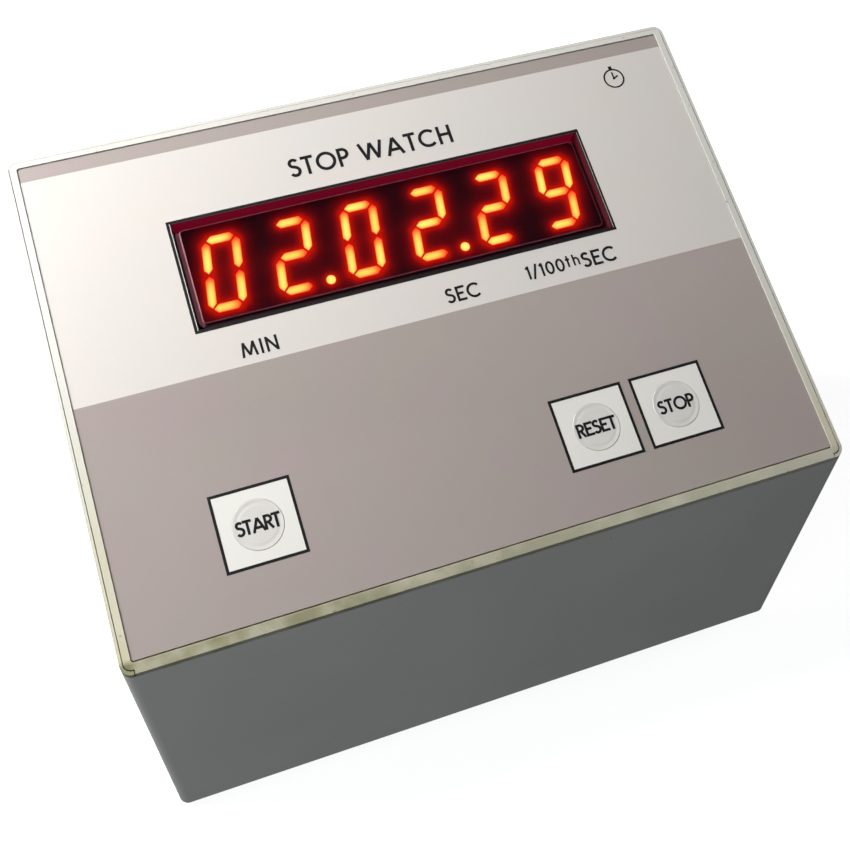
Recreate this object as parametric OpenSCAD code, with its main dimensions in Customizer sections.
// Digital bench stop watch in a sloping console.
// +X is to the user's right, the front wall faces -Y and +Z is up.
// The origin is under the middle of the whole object, on the surface that it stands on.

/* [Case] */
// Width of the case
case_w = 127.5; // [120:0.5:150]
// Length of the sloping panel from its front edge to its rear edge
panel_len = 90.5; // [86:0.5:110]
// Slope of the panel from the horizontal, in degrees
panel_tilt = 22; // [16:1:26]
// Height of the front wall
front_wall_h = 59; // [50:1:75]
// Thickness of the four walls
wall_t = 2.5; // [2.2:0.1:3]
// Radius of the upright corners
corner_r = 1.8; // [1.6:0.1:3]
// Thickness of the base plate
base_t = 2.5; // [2:0.1:3]
// Height of the rubber feet under the base
foot_h = 1.5; // [1:0.1:3]
// Diameter of each foot
foot_d = 11; // [8:0.5:14]

/* [Panel] */
// Thickness of the panel at its rim
panel_t = 3.2; // [3:0.1:4]
// Width of the wall's thin lip outside the panel
lip_w = 0.55; // [0.4:0.05:0.8]
// Seam between the lip and the panel
seam_w = 0.15; // [0.1:0.01:0.25]
// Thickness of the panel's front edge, which covers the top of the front wall
front_edge_t = 0.9; // [0.7:0.1:1.5]
// Width of the border from the case's edge to the label
border_w = 2; // [1.8:0.1:2.5]
// Depth of the recess that holds the label
recess_depth = 0.45; // [0.4:0.05:0.8]
// Thickness of the label film
film_t = 0.25; // [0.2:0.01:0.3]
// Gap between the label and the upper and lower edges of the recess
film_end_gap = 0.25; // [0.1:0.05:0.3]

/* [Display] */
// Distance from one digit to the next
digit_pitch = 12.7; // [12.4:0.1:12.8]
// Height of a digit module
digit_h = 19; // [18:0.1:19.5]
// Depth of a digit module, front to back
digit_deep = 8; // [7:0.1:9]
// Width of the display opening
window_w = 77.2; // [77:0.1:78]
// Height of the display opening
window_h = 20.2; // [20:0.1:21]
// Distance from the label's top edge to the middle of the opening
window_down = 26.6; // [24:0.1:30]
// Width of the red window plate
filter_w = 75.6; // [74:0.1:76]
// Height of the red window plate
filter_h = 18.2; // [17.6:0.1:18.8]
// Thickness of the red window plate
filter_t = 1.6; // [1:0.1:1.8]

/* [Keys] */
// Diameter of each key disc
key_d = 8.2; // [7.5:0.1:8.6]
// Distance that a key travels
key_travel = 0.4; // [0.25:0.05:0.5]
// Distance from the label's top edge to the middle of the keys
keys_down = 71.6; // [68:0.1:73]
// Middle of the START key, from the label's left edge
start_x = 24; // [22:0.1:30]
// Middle of the RESET key, from the label's left edge
reset_x = 83.9; // [78:0.1:84]
// Middle of the STOP key, from the label's left edge
stop_x = 99.2; // [99:0.1:101]

/* [Rear fittings] */
// Height of the inlet and the switch above the table
rear_z = 34; // [31:1:42]
// Distance of the inlet and the switch from the middle of the rear wall
rear_x = 34; // [24:1:40]
// Diameter of the hole that the power plug enters
socket_d = 3.6; // [3.55:0.05:4]
// Angle that the rocker turns through between on and off, in degrees
rocker_turn = 22; // [16:1:24]

/* [Hidden] */
$fn = 64;
far = 300;
gap = 0.1;

// Case, derived
case_d = panel_len * cos(panel_tilt);
base_top = foot_h + base_t;
base_clear = 0.15;
panel_inset = lip_w + seam_w;
front_edge_in = corner_r + 0.2;
label_corner_r = 0.4;
film_side_gap = 0.1;
label_w = case_w - 2 * border_w;
label_l = panel_len - 2 * border_w;
boss_r = 4;
boss_in = wall_t + boss_r - 0.4;
boss_h = 13;
boss_x = case_w / 2 - boss_in;
boss_y = case_d / 2 - boss_in;
screw_r = 1.45;
screw_head_r = 2.8;
screw_len = 9;
head_sink = 1.2;
flat_head_t = 1.5;
flat_head_in = 1.6;
foot_x = case_w / 2 - 17;
foot_y = case_d / 2 - 14;

// Panel, derived: heights are measured outward from the plane of the rim
film_top = film_t - recess_depth;
panel_back = -panel_t;
panel_boss_y = [9, panel_len - 13];
label_top = panel_len - border_w;
window_y = label_top - window_down;
keys_y = label_top - keys_down;
mask_wall = 1;
mask_flange = 1;
filter_top = film_top - 1.2;
filter_back = filter_top - filter_t;
digit_back = filter_back - digit_deep;
board_t = 1.6;

// Keys, derived
key_names = ["start", "reset", "stop"];
key_x = [start_x - label_w / 2, reset_x - label_w / 2, stop_x - label_w / 2];
key_top = film_top + 0.05;
key_hole_d = key_d + 0.3;
key_flange_d = key_d + 2.2;
key_flange_t = 1;
stem_d = 4;
stem_end = panel_back - 3;
tact_w = 12;
tact_h = 4.3;
plunger_d = 6;
plunger_hole_d = 6.2;
plunger_h = 7.2;
key_board_top = stem_end - plunger_h;
key_board_w = 2 * (boss_x - boss_r - 0.65);
key_board_l = 20;

// Boards on the panel
post_r = 2.8;
display_board_w = window_w + 16.8;
display_board_l = 30;
display_posts = [display_board_w / 2 - 3.5, display_board_l / 2 - 3.5];
key_posts = [key_board_w / 2 - 4, 6];
board_screw_r = 1.1;
board_screw_head_r = 2.1;
board_screw_head_t = 1.3;
board_screw_len = 6;

// The direction in the y-z plane in which cables leave the panel's boards
into_case = [sin(panel_tilt), -cos(panel_tilt)];

// Main board
main_w = 100;
main_l = 58;
main_back = 6;
standoff_h = 8;
standoff_r = 3;
main_z = base_top + standoff_h;
main_top = main_z + board_t;
main_holes = [main_w / 2 - 4, main_l / 2 - 4];
regulator_x = 20;
regulator_y = 21;
tab_y = 0.9;
tab_back = 2.2;
tab_hole_z = 16.5;
tab_screw_r = 1.5;
sink_t = 1.8;
header_w = 5.8;
header_h = 7;
display_header_h = 8.5;
display_plug = [-10, 23];
key_plug = [22, -25];
power_plug_y = 18;
ribbon_t = 0.9;

// Rear fittings
jack_r = 4;
jack_hole_sides = 12;
jack_hole_r = (jack_r + 0.1) / cos(180 / jack_hole_sides);
jack_flange_r = 5.5;
jack_flange_t = 2;
jack_len = 14;
socket_deep = 15;
nut_r = 5.6;
nut_t = 2.2;
rocker_half = 8.6;
rocker_w = 9;
rocker_clear = 0.3;
housing_w = 12.8;
housing_l = 19.4;
housing_deep = 14;
bezel_w = 15;
bezel_l = 21.6;
bezel_t = 2;
pivot_in = 0.6;
pivot_r = 1;
pivot_clear = 0.05;
pivot_reach = 0.9;
pivot_z = bezel_t - pivot_in - pivot_r;
rocker_stand = 1;
rocker_back = 3.2;
rocker_face = pivot_in + pivot_r + rocker_stand;
half_turn = rocker_turn / 2;

// Front to back: the rocker's raised end stands out of the rear wall
rocker_out = pivot_z
    + rocker_half * sin(rocker_turn + asin(rocker_face * cos(half_turn) / rocker_half));
front_y = -(case_d + rocker_out) / 2;
rear_y = front_y + case_d;
mid_y = (front_y + rear_y) / 2;
main_y = mid_y - main_back;

// ---- Frames and shared shapes ----

// The panel's own frame: x to the right, y up the slope from the front edge, z outward
module on_panel() {
    translate([0, front_y, foot_h + front_wall_h])
        rotate([panel_tilt, 0, 0])
            children();
}

// The rear wall's own frame: z points out of the wall, y points up
module on_rear(x, z) {
    translate([x, rear_y, z]) rotate([90, 0, 180]) children();
}

// The middle of the case's footprint
module at_middle(z = 0) {
    translate([0, mid_y, z]) children();
}

module at_corners(x, y) {
    for (sx = [-1, 1], sy = [-1, 1]) translate([sx * x, sy * y, 0]) children();
}

module rounded_rect(w, l, r) {
    square([w - 2 * r, l], center = true);
    square([w, l - 2 * r], center = true);
    for (sx = [-1, 1], sy = [-1, 1])
        translate([sx * (w / 2 - r), sy * (l / 2 - r)]) circle(r);
}

module plate(w, l, r, from_z, to_z) {
    translate([0, 0, from_z]) linear_extrude(to_z - from_z) rounded_rect(w, l, r);
}

module block(size, from_z = 0) {
    translate([-size[0] / 2, -size[1] / 2, from_z]) cube(size);
}

// An upright prism with the case's outline, drawn in by inset on all sides
module case_prism(inset, from_z) {
    at_middle() plate(case_w - 2 * inset, case_d - 2 * inset, max(corner_r - inset, 0.4), from_z, far);
}

// Everything that is deeper than depth under the plane of the rim
module under_panel(depth) {
    on_panel() translate([-far, -far, -2 * far - depth]) cube([2 * far, 3 * far, 2 * far]);
}

// A strip along the top of the front wall, down to depth. It begins at from_y and stops short of each side.
module front_strip(depth, from_y, short) {
    difference() {
        translate([short - case_w / 2, from_y, foot_h])
            cube([case_w - 2 * short, front_y + wall_t - from_y, far]);
        under_panel(depth);
    }
}

// A self-tapping screw that points along -z with its head's underside at z = 0
module screw(r, length, head_r, head_t) {
    translate([0, 0, -length]) cylinder(h = length, r = r);
    difference() {
        cylinder(h = head_t, r1 = head_r, r2 = head_r * 0.8);
        for (turn = [0, 90])
            rotate([0, 0, turn]) translate([-head_r * 0.6, -0.3, head_t * 0.45])
                cube([head_r * 1.2, 0.6, head_t]);
    }
}

// A dual in-line chip with its pins, standing on z = 0
module chip(pins, body_l, body_w, row) {
    difference() {
        block([body_l, body_w, 3.2], 0.6);
        translate([-body_l / 2, 0, 3.2]) cylinder(h = 2, r = 1.2);
    }
    for (i = [0 : pins / 2 - 1], side = [-1, 1])
        translate([(i - (pins / 2 - 1) / 2) * 2.54 - 0.3, side * row / 2 - 0.15, 0])
            cube([0.6, 0.3, 2]);
    for (i = [0 : pins / 2 - 1], side = [-1, 1])
        translate([(i - (pins / 2 - 1) / 2) * 2.54 - 0.3, side > 0 ? body_w / 2 : -row / 2, 1.8])
            cube([0.6, (row - body_w) / 2, 0.25]);
}

// ---- Case ----

module case_body() {
    color("ivory") difference() {
        union() {
            difference() {
                intersection() {
                    case_prism(0, foot_h);
                    under_panel(0.1);
                }
                case_prism(wall_t, 0);
            }
            at_middle(base_top) at_corners(boss_x, boss_y)
                cylinder(h = boss_h, r = boss_r);
            intersection() {
                case_prism(wall_t / 2, foot_h);
                on_panel() for (sx = [-1, 1], y = panel_boss_y)
                    translate([sx * boss_x, y, panel_back - boss_h])
                        cylinder(h = boss_h, r = boss_r);
            }
        }
        // Rebate for the panel
        difference() {
            case_prism(lip_w, foot_h);
            under_panel(panel_t);
        }
        front_strip(front_edge_t + seam_w, front_y - 1, front_edge_in);
        // Screw holes
        at_middle(foot_h) at_corners(boss_x, boss_y)
            cylinder(h = base_t + screw_len, r = screw_r);
        on_panel() for (sx = [-1, 1], y = panel_boss_y)
            translate([sx * boss_x, y, panel_back - screw_len])
                cylinder(h = screw_len + 1, r = screw_r);
        // Rear wall openings
        on_rear(-rear_x, rear_z)
            translate([0, 0, -wall_t - 1]) cylinder(h = wall_t + 2, r = jack_hole_r, $fn = jack_hole_sides);
        on_rear(rear_x, rear_z)
            block([housing_w, housing_l, wall_t + 2], -wall_t - 1);
    }
}

module front_panel() {
    color("ivory") difference() {
        union() {
            intersection() {
                case_prism(panel_inset, foot_h);
                difference() {
                    under_panel(0);
                    under_panel(panel_t);
                }
            }
            intersection() {
                front_strip(front_edge_t, front_y, front_edge_in + seam_w);
                under_panel(0);
            }
            on_panel() {
                translate([0, window_y, 0]) at_corners(display_posts[0], display_posts[1])
                    translate([0, 0, digit_back])
                        cylinder(h = panel_back - digit_back + 1, r = post_r);
                translate([0, keys_y, 0]) at_corners(key_posts[0], key_posts[1])
                    translate([0, 0, key_board_top])
                        cylinder(h = panel_back - key_board_top + 1, r = post_r);
            }
        }
        on_panel() {
            // Recess for the label
            translate([0, panel_len / 2, 0])
                plate(label_w + 2 * film_side_gap, label_l + 2 * film_end_gap,
                      label_corner_r + film_side_gap, -recess_depth, 5);
            // Display opening, which the mask lines
            translate([0, window_y, -5])
                block([window_w + 2 * mask_wall, window_h + 2 * mask_wall, 10]);
            // Key holes
            for (x = key_x) translate([x, keys_y, -5]) cylinder(h = 10, d = key_hole_d);
            // Panel screws, with flat heads under the label
            for (sx = [-1, 1], y = panel_boss_y) translate([sx * boss_x, y, 0]) {
                translate([0, 0, -5]) cylinder(h = 6, r = screw_r + 0.1);
                translate([0, 0, -recess_depth - flat_head_in])
                    cylinder(h = flat_head_in + 0.1, r1 = screw_r + 0.1, r2 = screw_head_r + 0.4);
            }
            // Blind holes for the screws of the two boards
            translate([0, window_y, digit_back]) at_corners(display_posts[0], display_posts[1])
                translate([0, 0, -1]) cylinder(h = board_screw_len, r = board_screw_r);
            translate([0, keys_y, key_board_top]) at_corners(key_posts[0], key_posts[1])
                translate([0, 0, -1]) cylinder(h = board_screw_len, r = board_screw_r);
        }
    }
}

module base_plate() {
    inset = wall_t + base_clear;
    color("ivory") difference() {
        union() {
            at_middle() plate(case_w - 2 * inset, case_d - 2 * inset, 1, foot_h, base_top);
            translate([0, main_y, base_top - 1]) at_corners(main_holes[0], main_holes[1])
                cylinder(h = standoff_h + 1, r = standoff_r);
        }
        at_middle(foot_h - 1) at_corners(boss_x, boss_y) {
            cylinder(h = base_t + 2, r = screw_r + 0.1);
            cylinder(h = 1 + head_sink, r = screw_head_r + 0.2);
        }
        translate([0, main_y, main_z]) at_corners(main_holes[0], main_holes[1])
            translate([0, 0, -6]) cylinder(h = 7, r = board_screw_r);
    }
}

module feet() {
    color("dimgray") at_middle() at_corners(foot_x, foot_y)
        cylinder(h = foot_h, r1 = foot_d / 2 - 0.4, r2 = foot_d / 2);
}

module base_screws() {
    color("silver") at_middle(foot_h + head_sink) at_corners(boss_x, boss_y)
        rotate([180, 0, 0]) screw(screw_r, screw_len, screw_head_r, 1.6);
}

module panel_screws() {
    color("silver") on_panel() for (sx = [-1, 1], y = panel_boss_y)
        translate([sx * boss_x, y, -recess_depth - flat_head_in]) {
            translate([0, 0, -screw_len + 2]) cylinder(h = screw_len - 2, r = screw_r);
            difference() {
                cylinder(h = flat_head_t, r1 = screw_r, r2 = screw_head_r);
                translate([-screw_head_r, -0.4, flat_head_t - 0.6])
                    cube([2 * screw_head_r, 0.8, 1]);
            }
        }
}

// ---- Label and display ----

module overlay() {
    color("lightgray") on_panel() difference() {
        translate([0, panel_len / 2, 0]) plate(label_w, label_l, label_corner_r, -recess_depth, film_top);
        translate([0, window_y, -5]) block([window_w, window_h, 10]);
        for (x = key_x) translate([x, keys_y, -5]) cylinder(h = 10, d = key_hole_d);
    }
}

module window_mask() {
    color("black") on_panel() translate([0, window_y, 0]) difference() {
        union() {
            block([window_w + 2 * mask_wall, window_h + 2 * mask_wall,
                   panel_t - recess_depth], panel_back);
            block([window_w + 4 * mask_wall, window_h + 4 * mask_wall, mask_flange],
                  panel_back - mask_flange);
        }
        block([window_w, window_h, 20], -10);
    }
}

module display_filter() {
    color("darkred", 0.6) on_panel() translate([0, window_y, 0])
        block([filter_w, filter_h, filter_t], filter_back);
}

// One seven-segment module with its pins, and the shallow step round its face
module digit(index) {
    x = (index - 3.5) * digit_pitch;
    color("black") on_panel() translate([x, window_y, 0]) {
        block([digit_pitch - 0.1, digit_h, digit_deep - 0.3], digit_back);
        block([digit_pitch - 0.5, digit_h - 0.4, 0.3], filter_back - 0.3);
    }
}

module display_board() {
    color("seagreen") on_panel() translate([0, window_y, 0]) difference() {
        block([display_board_w, display_board_l, board_t], digit_back - board_t);
        at_corners(display_posts[0], display_posts[1])
            translate([0, 0, digit_back - 2 * board_t])
                cylinder(h = 3 * board_t, r = board_screw_r + 0.1);
    }
}

module display_screws() {
    color("silver") on_panel() translate([0, window_y, digit_back - board_t])
        at_corners(display_posts[0], display_posts[1]) rotate([180, 0, 0])
            screw(board_screw_r, board_screw_len, board_screw_head_r, board_screw_head_t);
}

module display_header() {
    color("black") on_panel() translate([display_plug[0], window_y, 0])
        block([33, 8.8, display_header_h], digit_back - board_t - display_header_h);
}

// ---- Keys ----

module key(index) {
    color("gainsboro") on_panel() translate([key_x[index], keys_y, 0]) {
        translate([0, 0, panel_back - gap])
            cylinder(h = key_top - panel_back + gap, d = key_d);
        translate([0, 0, panel_back - gap - key_flange_t])
            cylinder(h = key_flange_t, d = key_flange_d);
        translate([0, 0, stem_end])
            cylinder(h = panel_back - stem_end - gap, d = stem_d);
    }
}

module switch_body(index) {
    color("black") on_panel() translate([key_x[index], keys_y, key_board_top]) difference() {
        union() {
            block([tact_w, tact_w, tact_h]);
            at_corners(tact_w / 2 - 1.6, tact_w / 2 - 1.6) cylinder(h = tact_h + 0.3, r = 0.7);
        }
        translate([0, 0, 2]) cylinder(h = 5, d = plunger_hole_d);
    }
}

module plunger(index) {
    color("white") on_panel() translate([key_x[index], keys_y, key_board_top])
        translate([0, 0, 2 + key_travel + gap])
            cylinder(h = plunger_h - 2 - key_travel - gap, d = plunger_d);
}

module key_header() {
    color("black") on_panel() translate([key_plug[0], keys_y, 0])
        block([14, header_w, header_h], key_board_top - board_t - header_h);
}

module key_board() {
    color("seagreen") on_panel() translate([0, keys_y, 0]) difference() {
        block([key_board_w, key_board_l, board_t], key_board_top - board_t);
        at_corners(key_posts[0], key_posts[1])
            translate([0, 0, key_board_top - 2 * board_t])
                cylinder(h = 3 * board_t, r = board_screw_r + 0.1);
    }
}

module key_screws() {
    color("silver") on_panel() translate([0, keys_y, key_board_top - board_t])
        at_corners(key_posts[0], key_posts[1]) rotate([180, 0, 0])
            screw(board_screw_r, board_screw_len, board_screw_head_r, board_screw_head_t);
}

// ---- Main board ----

module main_board() {
    color("seagreen") translate([0, main_y, main_z]) difference() {
        block([main_w, main_l, board_t]);
        at_corners(main_holes[0], main_holes[1])
            translate([0, 0, -1]) cylinder(h = board_t + 2, r = board_screw_r + 0.1);
    }
}

module main_screws() {
    color("silver") translate([0, main_y, main_top]) at_corners(main_holes[0], main_holes[1])
        screw(board_screw_r, board_screw_len, board_screw_head_r, board_screw_head_t);
}

// Places its children on the main board, from the board's middle
module on_main(x, y) {
    translate([x, main_y + y, main_top]) children();
}

module chip_socket() {
    color("dimgray") on_main(-14, -12) difference() {
        block([51.6, 17.4, 3.6]);
        block([44, 9, 5], -0.5);
    }
}

module controller_chip() {
    color("black") on_main(-14, -12) translate([0, 0, 3.6]) chip(40, 51.2, 13.6, 15.24);
}

module crystal() {
    color("silver") on_main(-14, 3) {
        linear_extrude(4) {
            square([6.4, 4.6], center = true);
            for (side = [-1, 1]) translate([side * 3.2, 0]) circle(2.3);
        }
        linear_extrude(0.6) {
            square([6.8, 5.4], center = true);
            for (side = [-1, 1]) translate([side * 3.4, 0]) circle(2.7);
        }
    }
}

module driver_chips() {
    color("black") for (x = [-20, 4]) on_main(x, 14) chip(16, 19.2, 6.4, 7.62);
}

module digit_transistors() {
    color("black") for (i = [0 : 5]) on_main(17.5 + i * 5.2, -4) difference() {
        translate([0, 0, 1.5]) cylinder(h = 4.6, r = 2.3);
        translate([-4, 1.3, 1]) cube([8, 4, 6]);
    }
}

module resistor_packs() {
    color("darkgoldenrod") for (y = [-14, -20]) on_main(29, y) {
        block([22, 2.4, 5], 0.6);
        for (i = [0 : 8]) translate([(i - 4) * 2.54, 0, 0]) block([0.5, 0.4, 0.6]);
    }
}

module capacitors() {
    color("midnightblue") {
        on_main(19, 7) cylinder(h = 16, r = 5);
        on_main(32, 7) cylinder(h = 11.5, r = 4);
    }
}

// Where the regulator stands on the main board
module at_regulator() {
    on_main(regulator_x, regulator_y) children();
}

// The regulator's fixing hole: z runs from the front of its tab to the rear
module on_tab() {
    at_regulator() translate([0, tab_y, tab_hole_z]) rotate([-90, 0, 0]) children();
}

module regulator() {
    color("dimgray") difference() {
        at_regulator() {
            block([10, 2 * tab_back, 9], 4);
            translate([0, (tab_y + tab_back) / 2, 0]) block([10, tab_back - tab_y, 15.6], 4);
            for (i = [-1, 0, 1]) translate([i * 2.54, 0, 0]) block([0.8, 0.5, 4]);
        }
        on_tab() translate([0, 0, -1]) cylinder(h = 4, r = tab_screw_r + 0.2);
    }
}

module heat_sink() {
    color("silver") difference() {
        at_regulator() translate([0, tab_back, 0]) {
            translate([-9, 0, 0]) cube([18, sink_t, 20]);
            for (x = [-8.4, -4.8, 4.8, 8.4])
                translate([x - 0.6, sink_t - 0.1, 0]) cube([1.2, 3.4, 20]);
        }
        on_tab() cylinder(h = 8, r = tab_screw_r + 0.2);
    }
}

module regulator_screw() {
    color("silver") on_tab() rotate([180, 0, 0]) screw(tab_screw_r, 7, 2.6, 1.5);
}

module regulator_nut() {
    color("silver") on_tab() translate([0, 0, tab_back - tab_y + sink_t]) difference() {
        cylinder(h = 2.2, r = 3.1, $fn = 6);
        translate([0, 0, -1]) cylinder(h = 5, r = tab_screw_r);
    }
}

module board_headers() {
    color("black") {
        on_main(display_plug[0], display_plug[1]) block([20, header_w, header_h]);
        on_main(key_plug[0], key_plug[1]) block([14, header_w, header_h]);
        for (side = [-1, 1])
            on_main(side * rear_x, power_plug_y) block([8, header_w, header_h]);
    }
}

// ---- Internal wiring ----

// A flat cable that follows points of the y-z plane, centred on x
module flat_cable(x, w, t, points) {
    last = len(points) - 1;
    function along(i) = points[min(i + 1, last)] - points[max(i - 1, 0)];
    function across(i) = [-along(i)[1], along(i)[0]] / norm(along(i)) * t / 2;
    translate([x - w / 2, 0, 0]) rotate([90, 0, 90]) linear_extrude(w) polygon(concat(
        [for (i = [0 : last]) points[i] + across(i)],
        [for (i = [last : -1 : 0]) points[i] - across(i)]
    ));
}

// Where a point of the panel's frame lies in the case's y-z plane
function from_panel(y, z) = [
    front_y + y * cos(panel_tilt) - z * sin(panel_tilt),
    foot_h + front_wall_h + y * sin(panel_tilt) + z * cos(panel_tilt)
];

module display_ribbon() {
    top = from_panel(window_y, digit_back - board_t - display_header_h);
    foot = [main_y + display_plug[1], main_top + header_h];
    color("gray") flat_cable(display_plug[0], 18, ribbon_t, [
        top, top + 3 * into_case, top + [2.5, -14], foot + [5, 18], foot + [0, 3], foot
    ]);
}

module key_ribbon() {
    top = from_panel(keys_y, key_board_top - board_t - header_h);
    foot = [main_y + key_plug[1], main_top + header_h];
    color("gray") flat_cable(key_plug[0], 12, ribbon_t, [
        top, top + 2 * into_case, top + [0.5, -10], foot + [6, 9], foot + [0, 2], foot
    ]);
}

// The twin leads of the inlet and the power switch
module power_leads() {
    foot = [main_y + power_plug_y, main_top + header_h];
    color("firebrick") for (side = [-1, 1])
        flat_cable(side * rear_x, 3, 1.5, [
            [rear_y - jack_len, rear_z], [rear_y - jack_len - 2, rear_z],
            foot + [3, 8], foot + [0, 2], foot
        ]);
}

// ---- Rear fittings ----

module dc_jack() {
    color("black") on_rear(-rear_x, rear_z) difference() {
        union() {
            cylinder(h = jack_flange_t, r = jack_flange_r);
            translate([0, 0, -jack_len]) cylinder(h = jack_len, r = jack_r);
        }
        translate([0, 0, jack_flange_t - socket_deep])
            cylinder(h = socket_deep + 1, d = socket_d);
    }
}

module jack_nut() {
    color("silver") on_rear(-rear_x, rear_z) translate([0, 0, -wall_t - nut_t]) difference() {
        cylinder(h = nut_t, r = nut_r, $fn = 6);
        translate([0, 0, -1]) cylinder(h = nut_t + 2, r = jack_r);
    }
}

module switch_housing() {
    hole_w = rocker_w + 2 * rocker_clear;
    hole_l = 2 * (rocker_half + rocker_clear);
    color("black") on_rear(rear_x, rear_z) difference() {
        union() {
            plate(bezel_w, bezel_l, 1.5, 0, bezel_t);
            block([housing_w, housing_l, housing_deep], -housing_deep);
        }
        block([hole_w, hole_l, 20], -7);
        translate([-hole_w / 2 - pivot_reach, 0, pivot_z])
            rotate([0, 90, 0])
                cylinder(h = hole_w + 2 * pivot_reach, r = pivot_r + pivot_clear);
    }
}

// The rocker is drawn level and tipped to its "on" position, with its lower end pressed in
module power_rocker() {
    end = rocker_face + rocker_half * tan(half_turn);
    pin_len = rocker_w + 2 * (rocker_clear + pivot_reach - 0.2);
    color("black") on_rear(rear_x, rear_z) translate([0, 0, pivot_z])
        rotate([half_turn, 0, 0]) rotate([90, 0, 90]) {
            translate([0, 0, -rocker_w / 2]) linear_extrude(rocker_w) intersection() {
                circle(rocker_half);
                polygon([
                    [-rocker_half, -rocker_back], [rocker_half, -rocker_back],
                    [rocker_half, end], [0, rocker_face], [-rocker_half, end]
                ]);
            }
            translate([0, 0, -pin_len / 2]) cylinder(h = pin_len, r = pivot_r);
        }
}

// ---- Assembly ----

case_body();
front_panel();
base_plate();
feet();
base_screws();
panel_screws();
overlay();
window_mask();
display_filter();
for (i = [1 : 6])
    digit(i);
display_board();
display_screws();
display_header();
key_board();
key_screws();
for (i = [0 : 2]) {
    switch_body(i);
    plunger(i);
    key(i);
}
main_board();
main_screws();
chip_socket();
controller_chip();
crystal();
driver_chips();
digit_transistors();
resistor_packs();
capacitors();
regulator();
heat_sink();
regulator_screw();
regulator_nut();
board_headers();
key_header();
display_ribbon();
key_ribbon();
power_leads();
dc_jack();
jack_nut();
switch_housing();
power_rocker();
